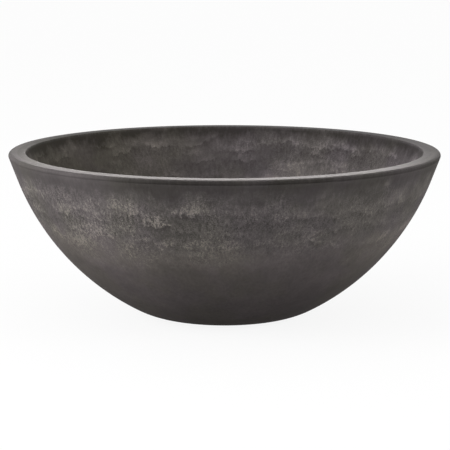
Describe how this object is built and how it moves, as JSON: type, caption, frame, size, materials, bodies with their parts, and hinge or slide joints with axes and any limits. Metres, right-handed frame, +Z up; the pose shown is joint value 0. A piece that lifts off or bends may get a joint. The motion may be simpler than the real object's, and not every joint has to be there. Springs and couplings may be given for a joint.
{
  "type": "bowl planter",
  "caption": "Wide round bowl planter with a thick flat rim, a curved belly down to a small flat foot, and a drain hole in its floor that a ribbed rubber plug closes.",
  "frame": {"origin": "centre of the base, on the surface that the bowl stands on", "axes": "+Z up along the bowl's axis; +X along the pull of the drain plug"},
  "size_m": [0.38, 0.3799, 0.1465],
  "materials": {
    "composite": "matte",
    "plug_rubber": "matte"
  },
  "bodies": {
    "bowl": {"bowl_shell": "composite"},
    "plug": {"drain_plug": "plug_rubber"}
  },
  "joints": [
    {"name": "plug_pull", "type": "slide", "parent": "bowl", "child": "plug", "axis": [0, 0, 1], "range_m": [0, 0.165]}
  ]
}
